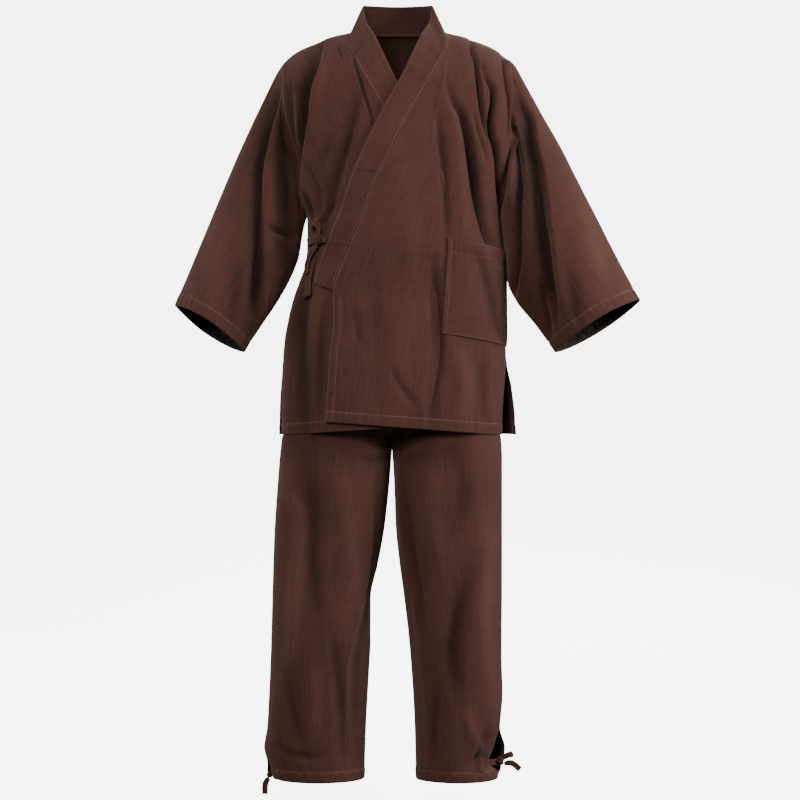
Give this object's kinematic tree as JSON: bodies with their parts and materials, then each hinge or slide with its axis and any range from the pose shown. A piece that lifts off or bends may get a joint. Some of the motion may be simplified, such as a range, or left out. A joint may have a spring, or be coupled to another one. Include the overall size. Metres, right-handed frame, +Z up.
{
  "type": "samue set",
  "caption": "Plain cotton work suit in its worn shape: cross-over jacket with wide sleeves, a band collar and a patch pocket, over wide straight trousers.",
  "frame": {"origin": "between the wearer's shoulders, at the base of the neck, in the plane of the side seams", "axes": "+Z up along the wearer, +Y towards the wearer's back, +X towards the wearer's left"},
  "size_m": [0.866, 0.2499, 1.4906],
  "materials": {
    "brown_cotton": "matt plain-woven cotton"
  },
  "bodies": {
    "root": {"collar": "brown_cotton", "jacket_front_left": "brown_cotton", "jacket_front_right": "brown_cotton", "jacket_back": "brown_cotton", "sleeve_right": "brown_cotton", "sleeve_left": "brown_cotton", "pocket": "brown_cotton", "trouser_waistband": "brown_cotton", "trouser_front_right": "brown_cotton", "trouser_front_left": "brown_cotton", "trouser_back_right": "brown_cotton", "trouser_back_left": "brown_cotton", "tie_band_end": "brown_cotton", "tie_side_end": "brown_cotton", "tie_knot": "brown_cotton", "tie_loop": "brown_cotton", "tie_tail_front": "brown_cotton", "tie_tail_side": "brown_cotton", "ankle_knot_left": "brown_cotton", "ankle_band_left": "brown_cotton", "ankle_tail_left_upper": "brown_cotton", "ankle_tail_left_lower": "brown_cotton", "ankle_knot_right": "brown_cotton", "ankle_tail_right": "brown_cotton"}
  },
  "joints": []
}
